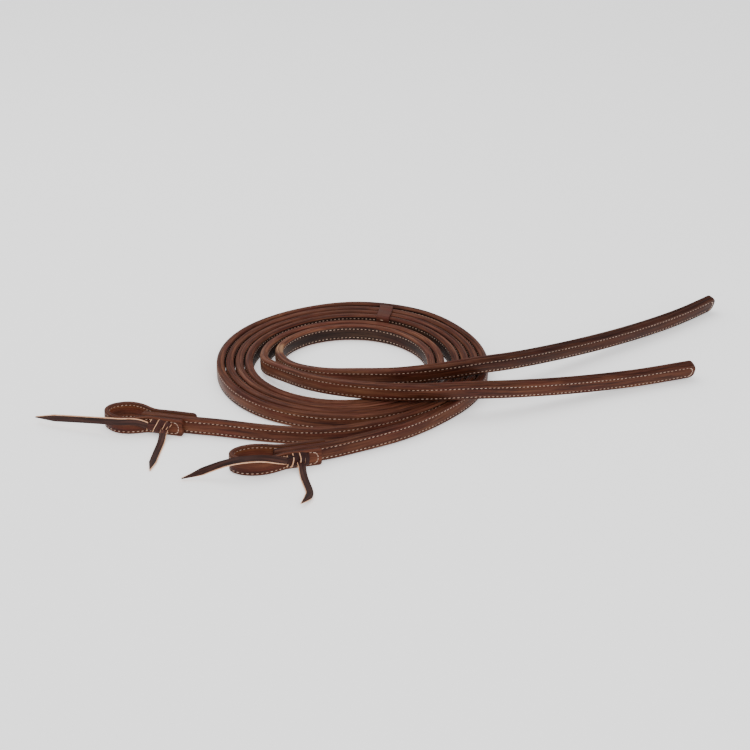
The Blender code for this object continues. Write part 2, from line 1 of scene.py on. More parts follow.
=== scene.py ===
"""The looks of a pair of coiled western split reins.

Everything is in metres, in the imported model's frame: +Z up, floor at Z = 0,
origin under the middle of the overall box.  Each rein is rebuilt as two plies
of bridle leather along the same route as its solids, with separate stitches,
a laced bit-end loop, and a lace whose cut edges are bare.
"""
import math
import random
import bpy
import bmesh
import numpy as np
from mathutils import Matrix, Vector


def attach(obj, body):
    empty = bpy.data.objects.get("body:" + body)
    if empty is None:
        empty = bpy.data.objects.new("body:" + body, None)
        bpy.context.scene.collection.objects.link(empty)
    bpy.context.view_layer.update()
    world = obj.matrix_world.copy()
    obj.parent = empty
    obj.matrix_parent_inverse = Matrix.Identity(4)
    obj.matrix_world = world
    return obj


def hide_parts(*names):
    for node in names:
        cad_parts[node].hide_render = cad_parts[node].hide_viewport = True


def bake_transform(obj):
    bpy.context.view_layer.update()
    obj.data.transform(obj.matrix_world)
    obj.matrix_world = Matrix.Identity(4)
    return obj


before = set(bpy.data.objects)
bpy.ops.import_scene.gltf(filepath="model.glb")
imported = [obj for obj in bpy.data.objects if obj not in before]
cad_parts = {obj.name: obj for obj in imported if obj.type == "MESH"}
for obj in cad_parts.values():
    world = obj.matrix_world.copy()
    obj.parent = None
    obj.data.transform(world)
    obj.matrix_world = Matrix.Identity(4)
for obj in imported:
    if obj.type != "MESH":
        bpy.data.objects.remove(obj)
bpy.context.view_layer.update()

# ---- strap: the same driving sizes as the solids
BOX_CENTRE = (0.047338, -0.057179)    # middle of the overall box, from the coil's axis
STRAP_WIDTH = 0.0164
HALF_T = 0.0039
ROW = 0.0048                        # stitch row, from the strap's middle
STITCH_PITCH = 0.0042               # six to the inch
STITCH_LENGTH = 0.0027
STITCH_WIDTH = 0.00072
STITCH_CROWN, STITCH_SINK = 0.00022, 0.0002   # its middle is higher, its ends dip in
STITCH_JOG = 0.00008
GROOVE_DEPTH = 0.0003
GROOVE_WIDTH = 0.0008
FACE_CROWN = (0.00012, 0.00015)     # a face swells this much: half way in, at the middle
TURN_PROUD = 0.00042                # stitches of an end's turn lie on the ungrooved face
LIFT = 0.0167                       # lower edge of a strap that lies on another
TAIL_LEAN = 17.0                    # a loose tail's top leans out, in degrees
TAIL_GROWTH = 0.12                  # and its section is this much larger
TAIL_CORNER = 0.006
NOSE_CORNER = 0.0016
PLY_GAP = 0.00002                   # from the glue line to each ply
SEAM_NICK = 0.00022                 # the plies' edges fall away this much at the glue line
END_RIM = 0.0007                    # rounding of a strap's two ends
REIN_ROUNDING = (0.0027, 0.0021)    # of its long edges: sideways, downwards
LOOP_ROUNDING = (0.0014, 0.0012)
NOSE_TURN, TAIL_TURN = 0.0026, 0.0034   # from each end to where its stitches turn round

# ---- coil
RING_PITCH = 0.00925
COIL_R0 = 0.13445
TURN_DROP = 2.0 * RING_PITCH
THIRD_TURN = 560
NEAR_JOIN, FAR_JOIN = -45, -60      # degrees at which each strap joins the coil
COIL_END = 885                      # and at which both leave it
COIL_LEAD = 15                      # a way in or out takes its bend from this much of the coil
KEEPER_ANGLE = 69.9
KEEPER_SKEW = 2.9                   # its outer wall sits this much further round
KEEPER_LIFT = 0.002
KEEPER_WIDTH = 0.014
KEEPER_THICKNESS = 0.0015
KEEPER_BEND = 0.0016                # radius of its four bends
KEEPER_STEP = 0.0011
KEEPER_EDGE = (0.0006, 0.0001)      # where its rounded edges start, and where they turn
KEEPER_PLAY = 0.0007
KEEPER_AIR = 0.0003
KEEPER_BULGE = 0.0029               # the outermost ring is pushed out beside it
BULGE_FLAT = 10.0
BULGE_FADE = 32.0
KEEPER_STITCH_Z = 0.0168            # a stitch that shows on the keeper's inner side
KEEPER_STITCH_AT = 0.0008           # off the band's middle
KEEPER_STITCH_HALF = 0.0017
THREAD_STANDS = 0.00055             # the solids' thread stands this far off a face
LIFT_FLAT = 13.0
LIFT_FADE = 50.0

# ---- bit ends
LOOP_HALF_T = 0.00235
LEG_OFFSET = 0.00765
LOOP_ROW = 0.0058
FRONT_LEG = 0.042
BACK_LEG = 0.05
STRAIGHT_END = 0.048
LOOP_GROOVE = GROOVE_DEPTH * 0.8
LOOP_TURN = 0.0036
LOOP_CORNERS = (0.0024, 0.0034)     # at the ends of its front and back legs
LOOP_STEPS = (0.001, 0.0012)        # between its points, before and after evening
LACE_WIDTH = 0.007
LACE_THICKNESS = 0.0018
LACE_STEP = 0.002
LACE_TIP = 0.12                     # share of its width that is left at the tip
NEAR_NOSE, NEAR_HEADING = (-0.066, -0.1898), 15.5
FAR_NOSE, FAR_HEADING = (-0.1905, -0.1125), -15.0
NEAR_LOOP = {"half_width": 0.0138, "reach": 0.038, "skew": -0.1}
FAR_LOOP = {"half_width": 0.0158, "reach": 0.035, "skew": 0.0}

# ---- routes, from the coil's axis: x, y, lower edge, lean in degrees
SQUEEZE_NEAR = [(-90, 0), (630, 0), (660, 0.0015), (690, 0.004), (720, 0.006), (750, 0.005),
                (795, 0.0031), (840, 0.0031), (870, 0.0042), (885, 0.005)]
SQUEEZE_FAR = [(-90, 0), (630, 0), (660, 0.0015), (690, 0.004), (720, 0.006), (750, 0.005),
               (795, 0.0031), (840, 0.0032), (870, 0.006), (885, 0.0084)]
LOW_NEAR = [(-90, 0), (840, 0), (870, 0.0012), (885, 0.0026)]
LOW_FAR = [(-90, 0), (840, 0), (870, 0.0009), (885, 0.0018)]
NEAR_ENTRY = [(0.01, -0.1625, 0, 0), (0.0285, -0.153, 0, 0), (0.0475, -0.142, 0, 0),
              (0.066, -0.128, 0, 0), (0.083, -0.112, 0, 0)]
FAR_ENTRY = [(-0.118, -0.1303, 0, 0), (-0.099, -0.1355, 0, 0), (-0.08, -0.1405, 0, 0),
             (-0.06, -0.1445, 0, 0), (-0.038, -0.1475, 0, 0), (-0.018, -0.147, 0, 0),
             (0.002, -0.1426, 0, 0), (0.02, -0.1362, 0, 0), (0.036, -0.129, 0, 0),
             (0.0505, -0.121, 0, 0)]
NEAR_LEAVE = [(-0.081, -0.008, 0.0052, 0), (-0.0616, -0.033, 0.0084, 0),
              (-0.0382, -0.0587, 0.012, 0), (-0.0125, -0.077, 0.0152, 0),
              (0.0096, -0.087, LIFT, 3), (0.0405, -0.0942, LIFT + 0.0003, 9),
              (0.071, -0.0968, LIFT + 0.0007, 12), (0.103, -0.0942, LIFT + 0.0005, 14),
              (0.128, -0.0896, 0.0158, 15), (0.15, -0.0835, 0.0132, 16),
              (0.17, -0.0766, 0.0106, 17), (0.203, -0.0639, 0.0064, 17),
              (0.243, -0.0482, 0.0024, 17), (0.283, -0.0338, 0.0003, 17),
              (0.322, -0.0196, 0, 17), (0.339, -0.0134, 0, 17)]
FAR_LEAVE = [(-0.0595, -0.012, 0.0046, 0), (-0.0425, -0.0345, 0.0092, 0),
             (-0.018, -0.0508, 0.0134, 0), (0.0075, -0.059, LIFT, 3),
             (0.041, -0.0606, LIFT, 9), (0.074, -0.055, LIFT, 12), (0.106, -0.0456, LIFT, 14),
             (0.13, -0.0369, LIFT, 15), (0.15, -0.0276, 0.0148, 16),
             (0.17, -0.0162, 0.0126, 17), (0.212, 0.0112, 0.0082, 17),
             (0.255, 0.0415, 0.0042, 17), (0.299, 0.0741, 0.0014, 17),
             (0.345, 0.1109, 0, 17), (0.3835, 0.1467, 0, 17)]
# lace ends, from the rein's nose: along the loop, out to the front, height, roll
NEAR_LONG = [(-0.009, 0.0136, 0.0112, 8), (-0.002, 0.0158, 0.0138, 26),
             (0.006, 0.018, 0.017, 44), (0.015, 0.0186, 0.0194, 56),
             (0.026, 0.0182, 0.0202, 58), (0.038, 0.0164, 0.0194, 56),
             (0.05, 0.0118, 0.0154, 48), (0.0625, 0.0074, 0.0098, 38),
             (0.074, 0.004, 0.0048, 22), (0.085, 0.0026, 0.0018, 8)]
FAR_LONG = [(-0.009, 0.0136, 0.0096, 0), (-0.003, 0.0156, 0.0128, 0), (0.004, 0.019, 0.0148, 0),
            (0.013, 0.0212, 0.0146, 0), (0.027, 0.021, 0.0136, 0), (0.046, 0.0198, 0.0118, 0),
            (0.065, 0.0184, 0.0098, 0), (0.084, 0.0172, 0.0078, 0), (0.101, 0.0164, 0.0062, 0)]
NEAR_SHORT = [(-0.0215, 0.0174, 0.0054, 84), (-0.0212, 0.0206, 0.003, 86),
              (-0.0204, 0.027, 0.0013, 90), (-0.0194, 0.04, 0.0011, 90),
              (-0.0186, 0.054, 0.0012, 86), (-0.016, 0.065, 0.0026, 72),
              (-0.0105, 0.073, 0.0038, 58), (-0.005, 0.079, 0.004, 50)]
FAR_SHORT = [(-0.0256, 0.0174, 0.0052, 90), (-0.0262, 0.0206, 0.0028, 90),
             (-0.0274, 0.028, 0.0012, 90), (-0.0298, 0.044, 0.0011, 90),
             (-0.0324, 0.061, 0.0011, 90), (-0.0354, 0.079, 0.0011, 90)]

FINE_STEP = 0.0022                  # distance between a strap's rings of points
SMOOTH_PASSES = 24


# ---- camera
CAMERA_AT = (-0.04076, -1.65731, 0.8339)
CAMERA_LOOK = (0.0107, 0.8988, -0.4382)
CAMERA_LENS = 92.64                 # in mm, on a 36 mm wide sensor


def make_camera():
    data = bpy.data.cameras.new("camera")
    data.sensor_width = 36.0
    data.lens = CAMERA_LENS
    data.clip_end = 20.0
    cam = bpy.data.objects.new("camera", data)
    cam.location = CAMERA_AT
    cam.rotation_mode = "QUATERNION"
    cam.rotation_quaternion = Vector(CAMERA_LOOK).to_track_quat("-Z", "Y")
    bpy.context.scene.collection.objects.link(cam)
    bpy.context.scene.camera = cam


make_camera()


# ---- curves
def unit(vectors):
    return vectors / np.linalg.norm(vectors, axis=1)[:, None]


def distances(points):
    """How far along its line each point lies."""
    gap = np.linalg.norm(np.diff(points, axis=0), axis=1)
    return np.concatenate([[0.0], np.cumsum(gap)])


def catmull(points, first, last, step):
    """Centripetal curve through points[first..last], one point per step or so."""
    pts = np.array(points, float)
    out = []
    for i in range(first, last):
        p = [pts[max(i - 1, 0)], pts[i], pts[i + 1], pts[min(i + 2, len(pts) - 1)]]
        t = [0.0]
        for a, b in zip(p, p[1:]):
            t.append(t[-1] + max(math.sqrt(math.hypot(*(b - a)[:2])), 1e-4))
        n = max(1, round(math.hypot(*(p[2] - p[1])[:2]) / step))
        for k in range(n):
            u = t[1] + (t[2] - t[1]) * k / n
            a1 = (t[1] - u) / (t[1] - t[0]) * p[0] + (u - t[0]) / (t[1] - t[0]) * p[1]
            a2 = (t[2] - u) / (t[2] - t[1]) * p[1] + (u - t[1]) / (t[2] - t[1]) * p[2]
            a3 = (t[3] - u) / (t[3] - t[2]) * p[2] + (u - t[2]) / (t[3] - t[2]) * p[3]
            b1 = (t[2] - u) / (t[2] - t[0]) * a1 + (u - t[0]) / (t[2] - t[0]) * a2
            b2 = (t[3] - u) / (t[3] - t[1]) * a2 + (u - t[1]) / (t[3] - t[1]) * a3
            out.append((t[2] - u) / (t[2] - t[1]) * b1 + (u - t[1]) / (t[2] - t[1]) * b2)
    out.append(pts[last])
    return np.array(out)


def evened(rows, step):
    """The same line with its points one step apart."""
    rows = np.array(rows, float)
    s = distances(rows[:, :2])
    s_new = np.linspace(0.0, s[-1], max(2, round(s[-1] / step)) + 1)
    return np.stack([np.interp(s_new, s, rows[:, c]) for c in range(rows.shape[1])], 1)


def relaxed(rows, passes, fixed):
    """Kinks taken out of a line; its first and last points stay where they are."""
    rows = rows.copy()
    for _ in range(passes):
        mid = rows[1:-1] * 0.5 + (rows[:-2] + rows[2:]) * 0.25
        rows[1 + fixed:-1 - fixed] = mid[fixed:len(mid) - fixed]
    return rows


def smooth(x):
    x = min(max(x, 0.0), 1.0)
    return x * x * (3.0 - 2.0 * x)


def between(table, angle):
    return float(np.interp(angle, [a for a, _ in table], [v for _, v in table]))


class Rail:
    """A flat strap's middle line with its sideways and up vectors.

    Sideways is to the right of the direction of travel, the coil's outside.
    """

    def __init__(self, rows, half_t, width):
        rows = np.array(rows, float)
        flat = rows[:, :2] - np.array(BOX_CENTRE)
        t = unit(np.gradient(flat, axis=0))
        lean = np.radians(rows[:, 3])
        zero = np.zeros(len(rows))
        side = np.stack([t[:, 1], -t[:, 0], zero], 1)
        up = np.stack([zero, zero, zero + 1.0], 1)
        c, s = np.cos(lean)[:, None], np.sin(lean)[:, None]
        grown = 1.0 + TAIL_GROWTH * rows[:, 3] / TAIL_LEAN
        low = (width / 2.0 * np.cos(lean) + half_t * np.abs(np.sin(lean))) * grown
        self.c = np.column_stack([flat, rows[:, 2] + low])
        self.n = (side * c - up * s) * grown[:, None]
        self.u = (up * c + side * s) * grown[:, None]
        self.s = distances(flat)

    def at(self, s):
        """Middle, sideways and up vectors at the distances s."""
        return [np.stack([np.interp(s, self.s, a[:, k]) for k in range(3)], -1)
                for a in (self.c, self.n, self.u)]

    def points(self, s, n, v):
        c, side, up = self.at(s)
        return c + side * np.asarray(n)[..., None] + up * np.asarray(v)[..., None]


# ---- routes
def keeper_lift(angle):
    off = abs((angle % 360.0) - KEEPER_ANGLE)
    return KEEPER_LIFT * (1.0 - smooth((off - LIFT_FLAT) / LIFT_FADE))


def bulge(angle):
    return KEEPER_BULGE * (1.0 - smooth((abs(angle - KEEPER_ANGLE) - BULGE_FLAT) / BULGE_FADE))


def coil_row(angle, r0, squeeze, low):
    r = r0 - TURN_DROP * angle / 360.0 - between(squeeze, angle)
    if r0 == COIL_R0:
        r += bulge(angle)
    z = keeper_lift(angle) if angle < THIRD_TURN else between(low, angle)
    return (r * math.cos(math.radians(angle)), r * math.sin(math.radians(angle)), z, 0.0)


def rein_rail(nose, heading, entry, first_angle, r0, squeeze, low, leave):
    """Straight bit end, way in, three turns, way out; one smooth line."""
    h = math.radians(heading)
    straight = [(nose[0] + math.cos(h) * d, nose[1] + math.sin(h) * d, 0.0, 0.0)
                for d in (0.0, STRAIGHT_END / 2.0, STRAIGHT_END)]
    row = lambda angle: coil_row(angle, r0, squeeze, low)
    way_in = straight + entry + [row(first_angle), row(first_angle + COIL_LEAD)]
    way_out = [row(COIL_END - COIL_LEAD), row(COIL_END)] + leave
    parts = [catmull(way_in, 0, len(way_in) - 2, FINE_STEP),
             np.array([row(a) for a in np.arange(first_angle + 1.0, COIL_END - 0.5, 1.0)]),
             catmull(way_out, 1, len(way_out) - 1, FINE_STEP)]
    line = evened(np.concatenate(parts), FINE_STEP)
    return Rail(relaxed(line, SMOOTH_PASSES, 2), HALF_T, STRAP_WIDTH)


near_rail = rein_rail(NEAR_NOSE, NEAR_HEADING, NEAR_ENTRY, NEAR_JOIN, COIL_R0,
                      SQUEEZE_NEAR, LOW_NEAR, NEAR_LEAVE)
far_rail = rein_rail(FAR_NOSE, FAR_HEADING, FAR_ENTRY, FAR_JOIN, COIL_R0 - RING_PITCH,
                     SQUEEZE_FAR, LOW_FAR, FAR_LEAVE)


# ---- meshes
class Builder:
    """Collects swept bodies and makes one object of them.

    Each point carries strap = (distance along, distance around, height from the
    middle), edge = 1 on a strap's narrow sides, and tone = how dark it is there.
    """

    def __init__(self):
        self.verts, self.faces, self.slots = [], [], []
        self.strap, self.edge, self.tone = [], [], []
        self.count = 0

    def sweep(self, rings, strap, edge, tone=None, closed=False, slots=None):
        """rings and strap are (rings, points, 3), edge and tone (rings, points).

        An open sweep's first cap has slot 0, and its last cap the highest slot.
        """
        r, k = rings.shape[:2]
        base = self.count
        self.verts.append(rings.reshape(-1, 3))
        self.strap.append(strap.reshape(-1, 3))
        self.edge.append(np.broadcast_to(edge, (r, k)).reshape(-1))
        tone = np.zeros((r, k)) if tone is None else tone
        self.tone.append(np.broadcast_to(tone, (r, k)).reshape(-1))
        for i in range(r if closed else r - 1):
            a, b = base + i * k, base + (i + 1) % r * k
            for j in range(k):
                q = (j + 1) % k
                self.faces.append((a + j, a + q, b + q, b + j))
                self.slots.append(slots[j] if slots else 0)
        if not closed:
            self.faces.append(tuple(range(base + k - 1, base - 1, -1)))
            self.faces.append(tuple(range(base + (r - 1) * k, base + r * k)))
            self.slots += [0, max(slots) if slots else 0]
        self.count += r * k

    def make(self, name, materials, crease=None):
        mesh = bpy.data.meshes.new(name)
        verts = np.concatenate(self.verts)
        mesh.from_pydata(verts.tolist(), [], self.faces)
        mesh.polygons.foreach_set("material_index", self.slots)
        for key, kind, field, data in (("strap", "FLOAT_VECTOR", "vector", self.strap),
                                       ("edge", "FLOAT", "value", self.edge),
                                       ("tone", "FLOAT", "value", self.tone)):
            attr = mesh.attributes.new(key, kind, "POINT")
            attr.data.foreach_set(field, np.concatenate(data).astype(np.float32).ravel())
        bm = bmesh.new()
        bm.from_mesh(mesh)
        bmesh.ops.recalc_face_normals(bm, faces=bm.faces)
        bm.to_mesh(mesh)
        bm.free()
        for mat in materials:
            mesh.materials.append(mat)
        mesh.shade_smooth()
        if crease:
            mesh.set_sharp_from_angle(angle=math.radians(crease))
        obj = bpy.data.objects.new(name, mesh)
        bpy.context.scene.collection.objects.link(obj)
        return obj


def corner(cn, cv, radius, start, steps=4):
    """Quarter circle of points round (cn, cv), start in degrees."""
    return [(cn + radius * math.cos(math.radians(start + 90.0 * k / steps)),
             cv + radius * math.sin(math.radians(start + 90.0 * k / steps)))
            for k in range(steps + 1)]


def ply_profile(n0, n1, row, round_n, round_v, groove):
    """Section of one ply from its seam side at n0 to its face at n1: (n, v, edge).

    The outer corners are rounded by round_n sideways and round_v downwards.
    """
    sgn = math.copysign(1.0, n1 - n0)
    thick = abs(n1 - n0)
    half = STRAP_WIDTH / 2.0
    nick = SEAM_NICK
    pts = [(0.0, half - nick, 1.0), (nick, half - nick * 0.25, 1.0),
           ((nick + thick - round_n) / 2.0, half, 1.0), (thick - round_n, half, 1.0)]
    for k in range(1, 7):
        a = math.radians(15.0 * k)
        pts.append((thick - round_n + round_n * math.sin(a),
                    half - round_v + round_v * math.cos(a), 1.0 - (k / 6.0) ** 4))
    width = GROOVE_WIDTH
    for dv, dn in ((width * 1.1, 0.0), (width * 0.5, 0.75), (0.0, 1.0), (-width * 0.5, 0.75),
                   (-width * 1.1, 0.0)):
        pts.append((thick - groove * dn, row + dv, 0.0))
    pts.append((thick + FACE_CROWN[0], row * 0.45, 0.0))
    mirror = [(n, -v, e) for n, v, e in reversed(pts)]
    whole = pts + [(thick + FACE_CROWN[1], 0.0, 0.0)] + mirror
    return [(n0 + sgn * n, v, e) for n, v, e in whole]


def end_shape(reach, rim):
    """Distances from a strap's end, with the corner narrowing and the rim's inset."""
    reach = max(reach, rim)
    ds = sorted({0.0, rim * 0.1, rim * 0.3, rim * 0.6, rim}
                | {reach * (1.0 - math.cos(math.radians(a))) for a in range(0, 91, 10)})
    rows = []
    for d in ds:
        x = max(reach - d, 0.0)
        narrow = reach - math.sqrt(max(reach * reach - x * x, 0.0))
        y = max(rim - d, 0.0)
        inset = rim - math.sqrt(max(rim * rim - y * y, 0.0))
        rows.append((d, narrow, inset))
    return rows


def add_ply(build, rail, n0, n1, row, rounding, groove, ends, tone_at=None, s0=0.0, s1=None):
    """One leather layer along a rail, with rounded corners at its two ends."""
    s1 = rail.s[-1] if s1 is None else s1
    half = STRAP_WIDTH / 2.0
    head = [(s0 + d, narrow, inset) for d, narrow, inset in end_shape(ends[0], END_RIM)]
    tail = [(s1 - d, narrow, inset) for d, narrow, inset in end_shape(ends[1], END_RIM)]
    mids = [(s, 0.0, 0.0) for s in rail.s
            if head[-1][0] + FINE_STEP * 0.5 < s < tail[-1][0] - FINE_STEP * 0.5]
    rows = np.array(head + mids + tail[::-1])
    prof = ply_profile(n0, n1, row, *rounding, groove)
    n = np.array([p[0] for p in prof])
    v = np.array([p[1] for p in prof])
    edge = np.array([p[2] for p in prof])
    around = np.concatenate([[0.0], np.cumsum(np.hypot(np.diff(n), np.diff(v)))])
    mid_n = (n0 + n1) / 2.0
    thick = abs(n1 - n0)
    k = len(prof)
    inset = rows[:, 2:3]
    shrink = (half - rows[:, 1:2] - inset) / half
    vv = v[None, :] * shrink
    nn = mid_n + (n[None, :] - mid_n) * (1.0 - 2.0 * inset / thick * 0.45)
    ss = np.repeat(rows[:, :1], k, 1)
    rings = rail.points(ss, nn, vv)
    strap = np.stack([ss, np.repeat(around[None, :], len(rows), 0), vv], -1)
    near_end = np.clip(1.0 - np.minimum(rows[:, 0] - s0, s1 - rows[:, 0]) / END_RIM, 0, 1)
    edges = np.maximum(edge[None, :], near_end[:, None])
    tone = None if tone_at is None else np.repeat(tone_at(rows[:, 0])[:, None], k, 1)
    build.sweep(rings, strap, edges, tone)


def stitch_centres(length, row, bends):
    """Stitch places: (distance, height, direction) for two rows and the turns.

    bends are (distance of the turn, which way it opens) at the ends that have one.
    """
    out = []
    first, last = 0.0, length
    for at, way in bends:
        depth = row * 0.75
        if way > 0:
            first = at + depth
        else:
            last = at - depth
        for a in (-75, -45, -15, 15, 45, 75):
            s = at + way * depth * (1.0 - math.cos(math.radians(a)))
            out.append((s, row * math.sin(math.radians(a)) * 0.95, math.radians(90.0 - way * a)))
    k = math.ceil(first / STITCH_PITCH)
    while (k + 1) * STITCH_PITCH < last:
        s = (k + 0.5) * STITCH_PITCH
        out += [(s, row, 0.0), (s, -row, 0.0)]
        k += 1
    return out


def add_stitches(build, rail, centres, face, sign, seed):
    """Each stitch is a plump grain of thread whose ends dip into the leather."""
    rng = random.Random(seed)
    t = np.array([-1.0, -0.82, -0.4, 0.0, 0.4, 0.82, 1.0])
    round_t = np.sqrt(np.clip(1.0 - np.abs(t) ** 3, 0.02, 1.0))
    ring = np.radians(np.arange(6) * 60.0)
    for s, v, turn in centres:
        lean = turn + math.radians(rng.uniform(2.0, 9.0)) * sign
        half = STITCH_LENGTH / 2.0 * rng.uniform(0.9, 1.08)
        wide = STITCH_WIDTH / 2.0 * rng.uniform(0.9, 1.1)
        jog = rng.uniform(-STITCH_JOG, STITCH_JOG)
        proud = TURN_PROUD if turn else 0.0
        a = t * half
        across = np.cos(ring)[None, :] * wide * round_t[:, None]
        ds = a[:, None] * math.cos(lean) - across * math.sin(lean)
        dv = a[:, None] * math.sin(lean) + across * math.cos(lean) + jog
        lift = (np.sin(ring)[None, :] * wide * 0.8 * round_t[:, None]
                + (STITCH_CROWN * (1.0 - t ** 2) - STITCH_SINK + proud)[:, None])
        n = face + sign * lift
        rings = rail.points(s + ds, n, v + dv)
        strap = np.stack([np.repeat(a[:, None], 6, 1) + s,
                          np.repeat(ring[None, :] * wide, 7, 0), v + dv], -1)
        build.sweep(rings, strap, np.zeros(6), np.full((7, 6), rng.random()))


# ---- materials
class Shade:
    """A node material with short calls for the nodes that it is made of."""

    def __init__(self, name, rough=0.5):
        self.mat = bpy.data.materials.new(name)
        self.mat.use_nodes = True
        self.tree = self.mat.node_tree
        self.bsdf = self.tree.nodes["Principled BSDF"]
        self.bsdf.inputs["Roughness"].default_value = rough

    def add(self, kind, **settings):
        node = self.tree.nodes.new("ShaderNode" + kind)
        for key, value in settings.items():
            setattr(node, key, value)
        return node

    def put(self, socket, value):
        if isinstance(value, bpy.types.NodeSocket):
            self.tree.links.new(value, socket)
        else:
            socket.default_value = value

    def attribute(self, name, output="Fac"):
        return self.add("Attribute", attribute_name=name).outputs[output]

    def math(self, operation, a, b=0.0, clamp=False):
        node = self.add("Math", operation=operation, use_clamp=clamp)
        self.put(node.inputs[0], a)
        self.put(node.inputs[1], b)
        return node.outputs[0]

    def step(self, value, low, high, to_low=0.0, to_high=1.0):
        node = self.add("MapRange", interpolation_type="SMOOTHSTEP")
        for socket, v in zip(node.inputs, (value, low, high, to_low, to_high)):
            self.put(socket, v)
        return node.outputs[0]

    def scaled(self, vector, by, shift=(0.0, 0.0, 0.0)):
        node = self.add("Mapping")
        self.put(node.inputs["Vector"], vector)
        node.inputs["Scale"].default_value = by
        node.inputs["Location"].default_value = shift
        return node.outputs[0]

    def noise(self, vector, scale, detail=3.0, rough=0.55, distort=0.0):
        node = self.add("TexNoise")
        self.put(node.inputs["Vector"], vector)
        node.inputs["Scale"].default_value = scale
        node.inputs["Detail"].default_value = detail
        node.inputs["Roughness"].default_value = rough
        node.inputs["Distortion"].default_value = distort
        return node.outputs["Fac"]

    def cells(self, vector, scale, feature="F1"):
        node = self.add("TexVoronoi", feature=feature)
        self.put(node.inputs["Vector"], vector)
        node.inputs["Scale"].default_value = scale
        return node.outputs["Distance"]

    def ramp(self, value, stops):
        node = self.add("ValToRGB")
        self.put(node.inputs[0], value)
        ramp = node.color_ramp
        while len(ramp.elements) < len(stops):
            ramp.elements.new(0.5)
        for element, (at, rgb) in zip(ramp.elements, stops):
            element.position = at
            element.color = (*rgb, 1.0)
        return node.outputs[0]

    def mix(self, share, a, b, blend="MIX"):
        node = self.add("Mix", data_type="RGBA", blend_type=blend)
        self.put(node.inputs[0], share)
        for socket, value in ((node.inputs[6], a), (node.inputs[7], b)):
            self.put(socket, value if isinstance(value, bpy.types.NodeSocket) else (*value, 1.0))
        return node.outputs[2]

    def bump(self, height, strength, distance):
        node = self.add("Bump")
        self.put(node.inputs["Height"], height)
        node.inputs["Strength"].default_value = strength
        node.inputs["Distance"].default_value = distance
        self.put(self.bsdf.inputs["Normal"], node.outputs[0])

    def split(self, vector):
        node = self.add("SeparateXYZ")
        self.put(node.inputs[0], vector)
        return node.outputs

    def finish(self, colour, roughness=None):
        self.put(self.bsdf.inputs["Base Color"], colour)
        if roughness is not None:
            self.put(self.bsdf.inputs["Roughness"], roughness)
        return self.mat


PALE_PATCH_COLOUR = (0.30, 0.165, 0.085)
PALE_PATCH_AT = 1.96                     # along the far rein, on its third turn
AWL_HOLE = (0.0006, 0.0004)         # half its size along and across
NO_ROW = 0.5                        # a stitch row too far off to show


